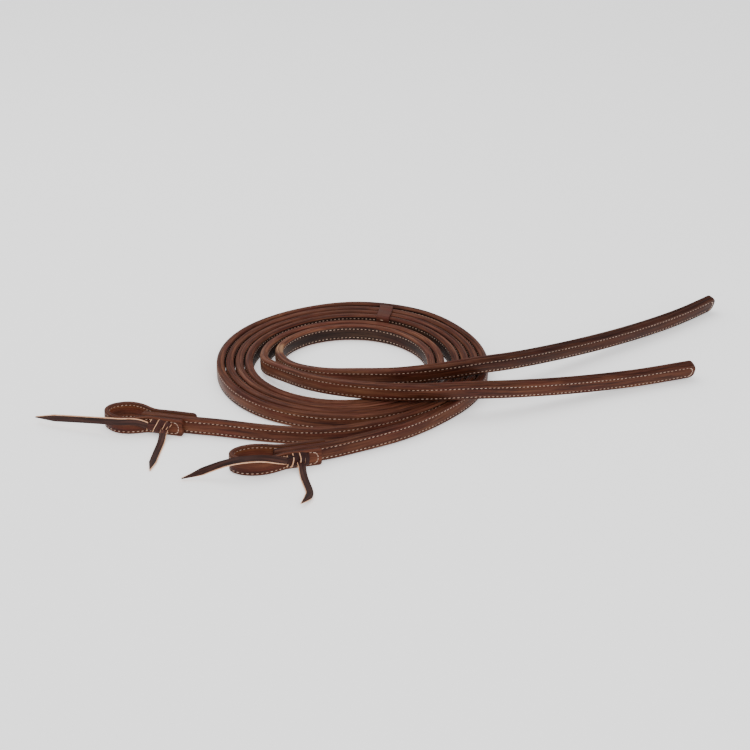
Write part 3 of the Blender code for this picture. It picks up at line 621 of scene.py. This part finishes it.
def strap_leather(name, face, edge, row, shift, rough=0.5, paint_hole_shade=True, pale_patch_at=None):
    """Oiled bridle leather: streaks along the strap, mottling, burnished edges.

    face and edge are three colours each, from dark to light.
    """
    m = Shade(name)
    strap = m.attribute("strap", "Vector")
    along, _, height = m.split(strap)
    streak = m.noise(m.scaled(strap, (16.0, 330.0, 0.0), shift), 1.0, 5.0, 0.62, 0.3)
    patch = m.noise(m.scaled(strap, (11.0, 60.0, 0.0), shift), 1.0, 3.0, 0.5, 0.6)
    fibre = m.noise(m.scaled(strap, (110.0, 2600.0, 0.0), shift), 1.0, 4.0, 0.6)
    pores = m.cells(m.scaled(strap, (1500.0, 1900.0, 0.0), shift), 1.0)
    fine = m.noise(m.scaled(strap, (42.0, 1000.0, 0.0), shift), 1.0, 3.0, 0.6, 0.5)
    both = m.math("ADD", m.math("MULTIPLY", streak, 0.4), m.math("MULTIPLY", patch, 0.35))
    both = m.math("ADD", both, m.math("MULTIPLY", fine, 0.25))
    on_face = m.ramp(both, [(0.41, face[0]), (0.5, face[1]), (0.6, face[2])])
    edge_mix = m.math("ADD", m.math("MULTIPLY", streak, 0.5), m.math("MULTIPLY", fine, 0.3))
    edge_mix = m.math("ADD", edge_mix, m.math("MULTIPLY", fibre, 0.2))
    on_edge = m.ramp(edge_mix, [(0.4, edge[0]), (0.5, edge[1]), (0.6, edge[2])])
    ragged = m.math("ADD", m.attribute("edge"), m.math("MULTIPLY", streak, 0.3))
    colour = m.mix(m.step(ragged, 0.25, 0.95), on_face, on_edge)
    # dye took unevenly: some lengths are tanner, some redder
    dye = m.noise(m.scaled(strap, (21.0, 90.0, 0.0), (shift[1], shift[0], 0.0)), 1.0, 2.0, 0.5, 0.4)
    colour = m.mix(m.step(dye, 0.46, 0.68, 0.0, 0.8), colour, (1.12, 1.25, 1.15), "MULTIPLY")
    colour = m.mix(m.step(dye, 0.32, 0.48, 0.7, 0.0), colour, (0.88, 0.66, 0.78), "MULTIPLY")
    tone = m.attribute("tone")
    colour = m.mix(tone, colour, (0.46, 0.4, 0.36), "MULTIPLY")
    # painted light: a tone below 0 paints the colour paler; along the third turn this stands for the
    # light from above
    paler_share = m.math("MULTIPLY", tone, -1.0, clamp=True)
    colour = m.mix(paler_share, colour, (1.7, 2.0, 2.3), "MULTIPLY")
    # a mottled patch of the edges is painted paler here
    if pale_patch_at is not None:
        off = m.math("ABSOLUTE", m.math("SUBTRACT", along, pale_patch_at))
        pale_patch = m.math("MULTIPLY", m.step(off, 0.006, 0.016, 1.0, 0.0),
                      m.step(fine, 0.4, 0.56, 0.15, 0.85))
        pale_patch = m.math("MULTIPLY", pale_patch, m.step(m.attribute("edge"), 0.1, 0.7))
        colour = m.mix(pale_patch, colour, PALE_PATCH_COLOUR)
    # the leather is darker along the stitch row, and painted shade makes it darkest in the awl holes
    off_row = m.math("SUBTRACT", m.math("ABSOLUTE", height), row)
    beside = m.step(m.math("ABSOLUTE", off_row), 0.0002, 0.0011, 0.74, 1.0)
    not_edge = m.step(m.attribute("edge"), 0.2, 0.6)
    beside = m.math("MAXIMUM", beside, not_edge)
    colour = m.mix(1.0, colour, beside, "MULTIPLY")
    # painted shade: each awl hole between stitches is painted dark where its recess would hold shade
    if paint_hole_shade:
        turns = m.math("DIVIDE", along, STITCH_PITCH)
        near = m.math("MULTIPLY", m.math("SUBTRACT", m.math("FRACT", m.math("ADD", turns, 0.5)),
                                         0.5), STITCH_PITCH / AWL_HOLE[0])
        far = m.math("DIVIDE", off_row, AWL_HOLE[1])
        hole_shade = m.step(m.math("ADD", m.math("MULTIPLY", near, near), m.math("MULTIPLY", far, far)),
                      0.35, 1.3, 0.45, 1.0)
        hole_shade = m.math("MAXIMUM", hole_shade, not_edge)
        colour = m.mix(1.0, colour, hole_shade, "MULTIPLY")
    tall = m.math("ADD", m.math("MULTIPLY", fibre, 0.45), m.math("MULTIPLY", pores, 0.35))
    tall = m.math("ADD", tall, m.math("MULTIPLY", streak, 0.6))
    m.bump(tall, 0.42, 0.0004)
    gloss = m.step(patch, 0.3, 0.7, rough - 0.07, rough + 0.1)
    m.bsdf.inputs["Specular IOR Level"].default_value = 0.12
    return m.finish(colour, gloss)


def thread_material(name):
    m = Shade(name, 0.7)
    strap = m.attribute("strap", "Vector")
    along, around, _ = m.split(strap)
    twist = m.math("SINE", m.math("MULTIPLY", m.math("ADD", along, around), 7500.0))
    dirt = m.noise(strap, 900.0, 2.0)
    dirt_and_tone = m.math("ADD", m.math("MULTIPLY", dirt, 0.6), m.math("MULTIPLY", m.attribute("tone"), 0.4))
    colour = m.ramp(dirt_and_tone, [(0.2, (0.32, 0.19, 0.13)), (0.5, (0.54, 0.36, 0.27)),
                            (0.85, (0.74, 0.56, 0.45))])
    # painted shade: the thread is painted darker in the grooves of its twist
    colour = m.mix(m.step(twist, -0.9, 0.3, 0.35, 0.0), colour, (0.62, 0.5, 0.42), "MULTIPLY")
    m.bump(twist, 0.5, 0.0001)
    m.bsdf.inputs["Sheen Weight"].default_value = 0.15
    return m.finish(colour)


def lace_material(name, tint):
    """Oiled latigo, dark burgundy, its grain side slightly shiny."""
    m = Shade(name)
    strap = m.attribute("strap", "Vector")
    streak = m.noise(m.scaled(strap, (30.0, 500.0, 0.0)), 1.0, 4.0, 0.6, 0.4)
    grain = m.cells(m.scaled(strap, (1400.0, 1700.0, 0.0)), 1.0)
    colour = m.ramp(streak, [(0.34, (0.014, 0.005, 0.004)), (0.52, (0.032, 0.012, 0.009)),
                             (0.7, (0.068, 0.027, 0.020))])
    colour = m.mix(1.0, colour, tint, "MULTIPLY")
    tall = m.math("ADD", m.math("MULTIPLY", grain, 0.5), m.math("MULTIPLY", streak, 0.6))
    m.bump(tall, 0.4, 0.0003)
    m.bsdf.inputs["Specular IOR Level"].default_value = 0.14
    return m.finish(colour, m.step(streak, 0.3, 0.7, 0.42, 0.55))


def cut_edge_material(name):
    """The undyed core that shows where the lace was cut."""
    m = Shade(name, 0.8)
    strap = m.attribute("strap", "Vector")
    fibre = m.noise(m.scaled(strap, (260.0, 3000.0, 900.0)), 1.0, 4.0, 0.65)
    colour = m.ramp(fibre, [(0.3, (0.34, 0.14, 0.07)), (0.5, (0.64, 0.34, 0.19)),
                            (0.68, (0.85, 0.56, 0.36))])
    m.bump(fibre, 0.5, 0.0003)
    return m.finish(colour)


FACE = [(0.034, 0.008, 0.004), (0.088, 0.026, 0.013), (0.146, 0.054, 0.028)]
INNER = [(0.010, 0.004, 0.003), (0.022, 0.009, 0.006), (0.044, 0.019, 0.011)]
EDGE = [(0.020, 0.0045, 0.0025), (0.066, 0.017, 0.008), (0.126, 0.043, 0.022)]
face_leather = {
    "near": strap_leather("near_bridle_leather", FACE, EDGE, ROW, (3.1, 0.0, 0.0)),
    "far": strap_leather("far_bridle_leather", FACE, EDGE, ROW, (40.7, 9.0, 0.0),
                         pale_patch_at=PALE_PATCH_AT)}
# the inner plies are coloured darker than the outer plies all along
inner_leather = {
    "near": strap_leather("near_darker_inner_leather", INNER, EDGE, ROW, (71.3, 4.0, 0.0), 0.6),
    "far": strap_leather("far_darker_inner_leather", INNER, EDGE, ROW, (95.2, 17.0, 0.0), 0.6,
                         pale_patch_at=PALE_PATCH_AT)}
LOOP = [(0.028, 0.007, 0.004), (0.068, 0.018, 0.009), (0.115, 0.036, 0.018)]
loop_leather = strap_leather("loop_leather", LOOP, EDGE, LOOP_ROW, (12.4, 31.0, 0.0))
LINING = [(0.062, 0.015, 0.006), (0.125, 0.036, 0.015), (0.20, 0.068, 0.030)]
lining_leather = strap_leather("loop_lining_leather", LINING, EDGE, LOOP_ROW, (22.4, 11.0, 0.0))
KEEPER = [(0.045, 0.012, 0.007), (0.070, 0.020, 0.012), (0.10, 0.032, 0.020)]
keeper_leather = strap_leather("keeper_leather", KEEPER, KEEPER, NO_ROW, (5.0, 2.0, 0.0), 0.55,
                               False)
thread = thread_material("waxed_thread")
latigo = lace_material("oiled_latigo", (1.0, 1.0, 1.0))
wrap_latigo = {"near": lace_material("near_wrap_latigo", (0.8, 0.6, 0.6)),
               "far": lace_material("far_wrap_latigo", (1.5, 1.1, 1.0))}
latigo_edge = cut_edge_material("bare_latigo_edge")


# ---- one rein
def piece(build, name, materials, slot_name, nodes, body=None, crease=None):
    obj = build.make(name, materials, crease)
    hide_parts(*nodes)
    if body:
        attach(obj, body)
    return obj


def tail_blend(obj, tag):
    """Bakes the object's transform into its mesh."""
    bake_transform(obj)


# how dark a rein is at its bit end and along its tail; below 0 it is painted paler
TONES = {"near": (0.45, 0.4), "far": (-0.1, 0.95)}
# painted light: the whole third turn is painted paler for the light from above that falls on it
THIRD_TURN_PAINTED_LIGHT = -0.5                       # along the third turn
TONE_PLACES = (0.0, 0.3, 0.5, 1.35, 1.62, 2.05, 2.25)   # along a rein, from its nose


def make_rein(tag, rail):
    end = rail.s[-1]
    turns = [f"{tag}_turn_{k}_" for k in (1, 2, 3)] + [tag + "_tail_"]
    start, tail = TONES[tag]
    tone_points = ([*TONE_PLACES, end],
                   [start, start * 0.9, 0.0, 0.0, THIRD_TURN_PAINTED_LIGHT, THIRD_TURN_PAINTED_LIGHT, tail, tail])
    tone_at = lambda s: np.interp(s, *tone_points)
    made = []
    for part, sign, leather in (("outer_ply", 1.0, face_leather[tag]),
                                ("inner_ply", -1.0, inner_leather[tag])):
        build = Builder()
        add_ply(build, rail, sign * PLY_GAP, sign * HALF_T, ROW, REIN_ROUNDING, GROOVE_DEPTH,
                (NOSE_CORNER, TAIL_CORNER), tone_at)
        slot_name = "bridle_leather" if sign > 0 else "bridle_leather_lining"
        made.append(piece(build, f"{tag}_rein_{part}", [leather], slot_name,
                          [t + part for t in turns], crease=60))
    centres = stitch_centres(end, ROW, [(NOSE_TURN, 1), (end - TAIL_TURN, -1)])
    for part, sign, seed in (("needle_thread", 1.0, 11), ("bobbin_thread", -1.0, 12)):
        build = Builder()
        add_stitches(build, rail, centres, sign * (HALF_T - GROOVE_DEPTH), sign, seed)
        made.append(piece(build, f"{tag}_rein_{part}", [thread], "waxed_thread",
                          [f"{tag}_{part}", f"{tag}_tail_{part}"]))
    for obj in made:
        tail_blend(obj, tag)
    return made


# ---- bit end
def local_frame(nose, heading):
    """World places from (along, out to the front): along runs away from the rein."""
    h = math.radians(heading)
    out = np.array([-math.cos(h), -math.sin(h)])
    front = np.array([math.sin(h), -math.cos(h)])
    base = np.array(nose)
    return lambda s, side: base + out * s + front * side


def loop_rail(world, shape):
    m, q, skew = shape["half_width"], shape["reach"], shape["skew"]
    bulge = m - LEG_OFFSET
    half = [(-0.028, LEG_OFFSET), (-0.008, LEG_OFFSET), (-0.0015, LEG_OFFSET + 0.36 * bulge),
            (0.16 * q, m - 0.22 * bulge), (0.38 * q, m), (0.62 * q, m - 0.12 * bulge),
            (0.82 * q, m - 0.6 * bulge), (0.95 * q, 0.42 * m), (q, 0.15 * m)]
    line = [(-FRONT_LEG, LEG_OFFSET)] + half
    line += [(s, -side) for s, side in reversed(half)] + [(-BACK_LEG, -LEG_OFFSET)]
    rows = [(*world(s, side + skew * max(s, 0.0)), 0.0, 0.0) for s, side in line]
    rows = evened(catmull(rows, 0, len(rows) - 1, LOOP_STEPS[0]), LOOP_STEPS[1])
    return Rail(relaxed(rows, 8, 1), LOOP_HALF_T, STRAP_WIDTH)


def make_loop(tag, rail, inward):
    end = rail.s[-1]
    centres = stitch_centres(end, LOOP_ROW, [(LOOP_TURN, 1)])
    sides = (("_loop_outer_ply", "_loop_needle_thread", -inward, loop_leather, "bridle_leather"),
             ("_loop_lining", "_loop_bobbin_thread", inward, lining_leather,
              "bridle_leather_lining"))
    for part, thread_part, sign, leather, slot_name in sides:
        build = Builder()
        add_ply(build, rail, sign * PLY_GAP, sign * LOOP_HALF_T, LOOP_ROW, LOOP_ROUNDING,
                LOOP_GROOVE, LOOP_CORNERS)
        piece(build, tag + part + "_leather", [leather], slot_name, [tag + part], "coil", 60)
        build = Builder()
        add_stitches(build, rail, centres, sign * (LOOP_HALF_T - LOOP_GROOVE), sign, 31)
        piece(build, tag + thread_part + "_stitches", [thread], "waxed_thread", [tag + thread_part],
              "coil")


# ---- laces
def ribbon(build, pts, wide, width, thick, skived=1.0, cut=True):
    """A lace along pts, wide = its width's direction; its narrow sides are bare.

    The side towards +wide, or -wide where skived is -1, is cut at a slant.
    A length with cut False is dyed all round.
    """
    pts, wide = np.array(pts, float), np.array(wide, float)
    t = unit(np.gradient(pts, axis=0))
    wide = unit(wide - t * np.sum(wide * t, 1)[:, None])
    flat = np.cross(t, wide)
    section = [(-1.0, -0.55), (-1.0, 0.55), (-0.985, 1.0), (-0.6, 1.12), (0.0, 1.2), (0.6, 1.12),
               (0.84, 1.0), (1.0, 0.3), (1.0, -0.3), (0.84, -1.0), (0.6, -1.05), (0.0, -1.08),
               (-0.6, -1.05), (-0.985, -1.0)]
    k = len(section)
    bare = [int(cut and abs(section[j][0]) > 0.8 and abs(section[(j + 1) % k][0]) > 0.8)
            for j in range(k)]
    a = np.array([p[0] for p in section]) * skived
    b = np.array([p[1] for p in section])
    w = np.asarray(width)[:, None] / 2.0 * a[None, :]
    h = np.asarray(thick)[:, None] / 2.0 * b[None, :]
    rings = pts[:, None, :] + wide[:, None, :] * w[..., None] + flat[:, None, :] * h[..., None]
    run = distances(pts)
    around = np.cumsum(np.hypot(np.diff(a, prepend=0) * LACE_WIDTH / 2.0,
                                np.diff(b, prepend=0) * LACE_THICKNESS / 2.0))
    strap = np.stack([np.repeat(run[:, None], k, 1), np.repeat(around[None, :], len(pts), 0), w],
                     -1)
    build.sweep(rings, strap, np.array(bare, float), slots=bare)


def lace_end(name, world, rows, taper, node, skived):
    """A free lace end, cut to a point over its last taper metres."""
    line = [(*(world(r[0], r[1]) - np.array(BOX_CENTRE)), r[2], r[3]) for r in rows]
    line = evened(catmull(line, 0, len(line) - 1, LACE_STEP), LACE_STEP)
    line = relaxed(line, 4, 0)
    pts = line[:, :3]
    t = unit(np.gradient(pts, axis=0))
    side = unit(np.stack([t[:, 1], -t[:, 0], np.zeros(len(t))], 1))
    up = np.cross(side, t)
    roll = np.radians(line[:, 3])[:, None]
    wide = up * np.cos(roll) + side * np.sin(roll)
    run = distances(pts)
    left = run[-1] - run
    width = LACE_WIDTH * np.minimum(1.0, LACE_TIP + left / taper)
    thick = np.full(len(pts), LACE_THICKNESS)
    build = Builder()
    ribbon(build, pts, wide, width, thick, skived)
    obj = piece(build, name, [latigo, latigo_edge], "latigo_lace", [node], crease=40)
    root = pts[0]
    tuple(root)
    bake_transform(obj)
    tuple(root)
    return obj


def knot(tag, world, wraps, long_start, short_start):
    """Slanting wraps across the front of the loop's leg, each over the one before.

    With them go one flat wrap behind and the roots of the lace's two free ends.
    """
    build = Builder()
    shift = np.array(BOX_CENTRE)
    face = LEG_OFFSET + LOOP_HALF_T + KNOT_GAP
    place = lambda s, side, z: np.array([*(world(s, side) - shift), z])
    along = place(1.0, 0.0, 0.0) - place(0.0, 0.0, 0.0)
    front = place(0.0, 1.0, 0.0) - place(0.0, 0.0, 0.0)
    for s_low, s_high, low, high, bow, rise, roll, wide in wraps:
        rows = []
        for k in range(WRAP_POINTS):
            f = k / (WRAP_POINTS - 1.0)
            arch = math.sin(math.pi * f)
            s = s_low + (s_high - s_low) * f + bow * arch
            stand = face - WRAP_DIP + (rise + WRAP_DIP) * min(1.0, arch * 1.6) ** 0.8
            rows.append(place(s, stand, low + (high - low) * f))
        tilt = math.radians(roll)
        w = along * math.cos(tilt) + front * math.sin(tilt)
        ribbon(build, rows, np.repeat(w[None, :], WRAP_POINTS, 0), np.full(WRAP_POINTS, wide),
               np.full(WRAP_POINTS, WRAP_THICKNESS[tag]))
    up = np.repeat(np.array([[0.0, 0.0, 1.0]]), ROOT_POINTS, 0)
    share = np.linspace(0.0, 1.0, ROOT_POINTS)
    root_thick = np.full(ROOT_POINTS, ROOT_THICKNESS)
    arch = np.minimum(1.0, np.sin(np.pi * share) * 2.2)
    s0, s1 = BACK_WRAP
    behind = [place(s0 + (s1 - s0) * f, -face + BACK_DIP - BACK_RISE * rise, STRAP_WIDTH / 2.0)
              for f, rise in zip(share, arch)]
    ribbon(build, behind, up, np.full(ROOT_POINTS, BACK_WRAP_SIZE[0]),
           np.full(ROOT_POINTS, BACK_WRAP_SIZE[1]))
    # the ends' roots, which run out from under the wraps to where each end starts
    s0, s1 = ROOT_RUN
    root = [place(s0 + (s1 - s0) * f, LONG_START - ROOT_SLANT * f, long_start[2]) for f in share]
    ribbon(build, root, up, np.full(ROOT_POINTS, LACE_WIDTH), root_thick, cut=False)
    s, side, z = short_start[:3]
    root = [place(s, face + (side + ROOT_LAP - face) * f, z - ROOT_SINK + ROOT_DROP * (1.0 - f))
            for f in share]
    ribbon(build, root, np.repeat(along[None, :], ROOT_POINTS, 0),
           np.full(ROOT_POINTS, SHORT_ROOT_WIDTH), root_thick)
    return piece(build, tag + "_lace_wraps", [wrap_latigo[tag], latigo_edge], "latigo_lace",
                 [tag + "_lace_knot"], "coil", 40)


# wraps: s at the bottom and top, lower and upper height, bow, how far the wrap
# stands off, roll that lifts one edge, width
FAR_WRAPS = [(-0.0103, -0.0158, 0.0030, 0.0142, 0.0, 0.0012, 12, 0.0072),
             (-0.0160, -0.0232, 0.0016, 0.0146, 0.0, 0.0019, 14, 0.0072),
             (-0.0238, -0.0292, 0.0022, 0.0132, 0.0, 0.0025, 14, 0.0056),
             (-0.0278, -0.0306, 0.0074, 0.0116, 0.0, 0.0036, 30, 0.0020)]
NEAR_WRAPS = [(-0.0118, -0.0126, 0.0030, 0.0140, -0.0008, 0.0010, 8, 0.0060),
              (-0.0154, -0.0182, 0.0026, 0.0150, -0.0010, 0.0019, 16, 0.0072),
              (-0.0218, -0.0242, 0.0014, 0.0148, -0.0012, 0.0025, 16, 0.0066),
              (-0.0262, -0.0276, 0.0024, 0.0138, -0.0006, 0.0021, 10, 0.0044)]
WRAP_THICKNESS = {"near": 0.0017, "far": 0.0012}
WRAP_POINTS = 17
WRAP_DIP = 0.0012                   # a wrap's two ends start this far inside the knot's face
KNOT_GAP = 0.0004                   # which is this far off the leg
BACK_WRAP = (-0.0105, -0.0310)      # along the leg
BACK_WRAP_SIZE = (0.0068, 0.0017)   # width, thickness
BACK_DIP, BACK_RISE = 0.001, 0.0024
ROOT_POINTS = 13
ROOT_THICKNESS = 0.0016
ROOT_RUN = (-0.0088, -0.0170)       # a long end's root, back under the wraps
ROOT_SLANT = 0.0018                 # and in by this much
ROOT_LAP = 0.0012                   # a short end's root runs this far inside the end
ROOT_SINK = 0.0009                  # and follows its slope down there
ROOT_DROP = 0.0042                  # it comes down this far on the way
SHORT_ROOT_WIDTH = LACE_WIDTH * 0.97
LONG_START = 0.0135                 # out from the rein's middle, as the long ends start
LONG_TAPER, SHORT_TAPER = 0.022, 0.016


def make_bit_end(tag, nose, heading, shape, wraps, long_rows, short_rows, skived):
    world = local_frame(nose, heading)
    rail = loop_rail(world, shape)
    apex = rail.n[len(rail.n) // 2]
    to_rein = world(-1.0, 0.0) - world(0.0, 0.0)
    inward = 1.0 if apex[0] * to_rein[0] + apex[1] * to_rein[1] > 0 else -1.0
    make_loop(tag, rail, inward)
    knot(tag, world, wraps, long_rows[0], short_rows[0])
    lace_end(tag + "_long_latigo", world, long_rows, LONG_TAPER, tag + "_lace_long_end",
             skived)
    lace_end(tag + "_short_latigo", world, short_rows, SHORT_TAPER, tag + "_lace_short_end",
             -skived)


# ---- keeper
def keeper_axes(r, r_in, r_out):
    """Outward and along directions of the skewed band at each radius."""
    share = (r - r_in) / (r_out - r_in) - 0.5
    turn = np.radians(KEEPER_ANGLE + KEEPER_SKEW * share)
    zero = np.zeros_like(turn)
    return (np.stack([np.cos(turn), np.sin(turn), zero], -1),
            np.stack([-np.sin(turn), np.cos(turn), zero], -1))


def make_keeper():
    """A band of leather round three rings, with a stitch that shows on its inner side."""
    stick = HALF_T + THREAD_STANDS
    ring = COIL_R0 - TURN_DROP * KEEPER_ANGLE / 360.0
    r_out = ring - RING_PITCH + stick + KEEPER_PLAY
    r_in = ring - 3.0 * RING_PITCH - stick - KEEPER_PLAY
    z0, z1 = KEEPER_LIFT - KEEPER_AIR, KEEPER_LIFT + STRAP_WIDTH + KEEPER_AIR
    half = KEEPER_THICKNESS / 2.0
    bend = KEEPER_BEND
    low_r, high_r, low_z, high_z = r_in - half, r_out + half, z0 - half, z1 + half
    loop = []
    for cr, cz, start in ((high_r - bend, high_z - bend, 0), (low_r + bend, high_z - bend, 90),
                          (low_r + bend, low_z + bend, 180), (high_r - bend, low_z + bend, 270)):
        loop += corner(cr, cz, bend, start, 6)
    loop.append(loop[0])
    line = evened([(x, y, 0.0, 0.0) for x, y in loop], KEEPER_STEP)[:-1, :2]
    step = unit(np.roll(line, -1, 0) - np.roll(line, 1, 0))
    out = np.stack([step[:, 1], -step[:, 0]], 1)
    if out[0, 0] < 0.0:
        out = -out
    hw = KEEPER_WIDTH / 2.0
    soft, lip = KEEPER_EDGE
    section = [(-hw + soft, half), (-hw * 0.5, half * 1.06), (0.0, half * 1.1),
               (hw * 0.5, half * 1.06), (hw - soft, half), (hw - lip, half * 0.55), (hw, 0.0),
               (hw - lip, -half * 0.55), (hw - soft, -half), (0.0, -half), (-hw + soft, -half),
               (-hw + lip, -half * 0.55), (-hw, 0.0), (-hw + lip, half * 0.55)]
    w = np.array([p[0] for p in section])
    h = np.array([p[1] for p in section])
    shift = np.array([*BOX_CENTRE, 0.0])

    def place(r, z, w):
        outward, along = keeper_axes(r, r_in, r_out)
        return (outward * r[..., None] + along * w[..., None]
                + np.array([0.0, 0.0, 1.0]) * z[..., None] - shift)

    r = line[:, :1] + out[:, :1] * h[None, :]
    z = line[:, 1:2] + out[:, 1:2] * h[None, :]
    ww = np.repeat(w[None, :], len(line), 0)
    run = distances(line)
    strap = np.stack([ww, np.repeat(run[:, None], len(w), 1), np.zeros_like(ww)], -1)
    build = Builder()
    build.sweep(place(r, z, ww), strap, np.clip(np.abs(w) / hw * 8.0 - 7.0, 0, 1), closed=True)
    t = np.array([-1.0, -0.85, -0.4, 0.0, 0.4, 0.85, 1.0])[:, None]
    turn = np.radians(np.arange(6) * 60.0)[None, :]
    plump = np.sqrt(1.0 - np.abs(t) ** 3 * 0.98) * STITCH_WIDTH * 0.6
    grain_w = KEEPER_STITCH_AT + t * KEEPER_STITCH_HALF + np.zeros_like(turn)
    grain_r = low_r - half * 1.4 + plump * np.cos(turn)
    grain_z = KEEPER_STITCH_Z + plump * np.sin(turn)
    strap = np.stack([grain_w, plump * turn, grain_z], -1)
    build.sweep(place(grain_r, grain_z, grain_w), strap, np.zeros(6), slots=[1] * 6)
    piece(build, "keeper_leather_band", [keeper_leather, thread], "keeper_leather", ["keeper_band"],
          "keeper", 50)


for tag, rail in (("near", near_rail), ("far", far_rail)):
    make_rein(tag, rail)
make_bit_end("near", NEAR_NOSE, NEAR_HEADING, NEAR_LOOP, NEAR_WRAPS, NEAR_LONG, NEAR_SHORT, -1.0)
make_bit_end("far", FAR_NOSE, FAR_HEADING, FAR_LOOP, FAR_WRAPS, FAR_LONG, FAR_SHORT, 1.0)
make_keeper()


# ---- stage
FLOOR_GLOW = 0.5                    # a little light of its own keeps the floor pale
FLOOR_REACH, FLOOR_DROP = 6.0, 0.0003
SKY_LIGHT = 0.95
SOFTBOXES = (("softbox_above", (-0.5, 0.35, 1.6), 1.6, 16.0),   # name, place, side, watts
             ("softbox_front", (0.5, -1.6, 1.0), 1.4, 12.0))


def make_stage():
    mesh = bpy.data.meshes.new("floor")
    r = FLOOR_REACH
    mesh.from_pydata([(-r, -r, 0.0), (r, -r, 0.0), (r, r, 0.0), (-r, r, 0.0)], [], [(0, 1, 2, 3)])
    floor = bpy.data.objects.new("floor", mesh)
    floor.location.z = -FLOOR_DROP
    m = Shade("pale_floor", 0.9)
    speck = m.noise(m.attribute("position", "Vector"), 3.0)
    m.bsdf.inputs["Specular IOR Level"].default_value = 0.1
    m.bsdf.inputs["Emission Color"].default_value = (1.0, 1.0, 1.0, 1.0)
    m.bsdf.inputs["Emission Strength"].default_value = FLOOR_GLOW
    mesh.materials.append(m.finish(m.ramp(speck, [(0.0, (0.93, 0.93, 0.93)),
                                                  (1.0, (0.96, 0.96, 0.96))])))
    bpy.context.scene.collection.objects.link(floor)
    world = bpy.data.worlds.new("studio")
    bpy.context.scene.world = world
    world.use_nodes = True
    world.node_tree.nodes["Background"].inputs[0].default_value = (1.0, 1.0, 1.0, 1.0)
    world.node_tree.nodes["Background"].inputs[1].default_value = SKY_LIGHT
    for name, at, size, power in SOFTBOXES:
        light = bpy.data.lights.new(name, "AREA")
        light.size = size
        light.energy = power
        lamp = bpy.data.objects.new(name, light)
        lamp.location = at
        lamp.rotation_mode = "QUATERNION"
        lamp.rotation_quaternion = (-Vector(at)).to_track_quat("-Z", "Y")
        bpy.context.scene.collection.objects.link(lamp)


make_stage()
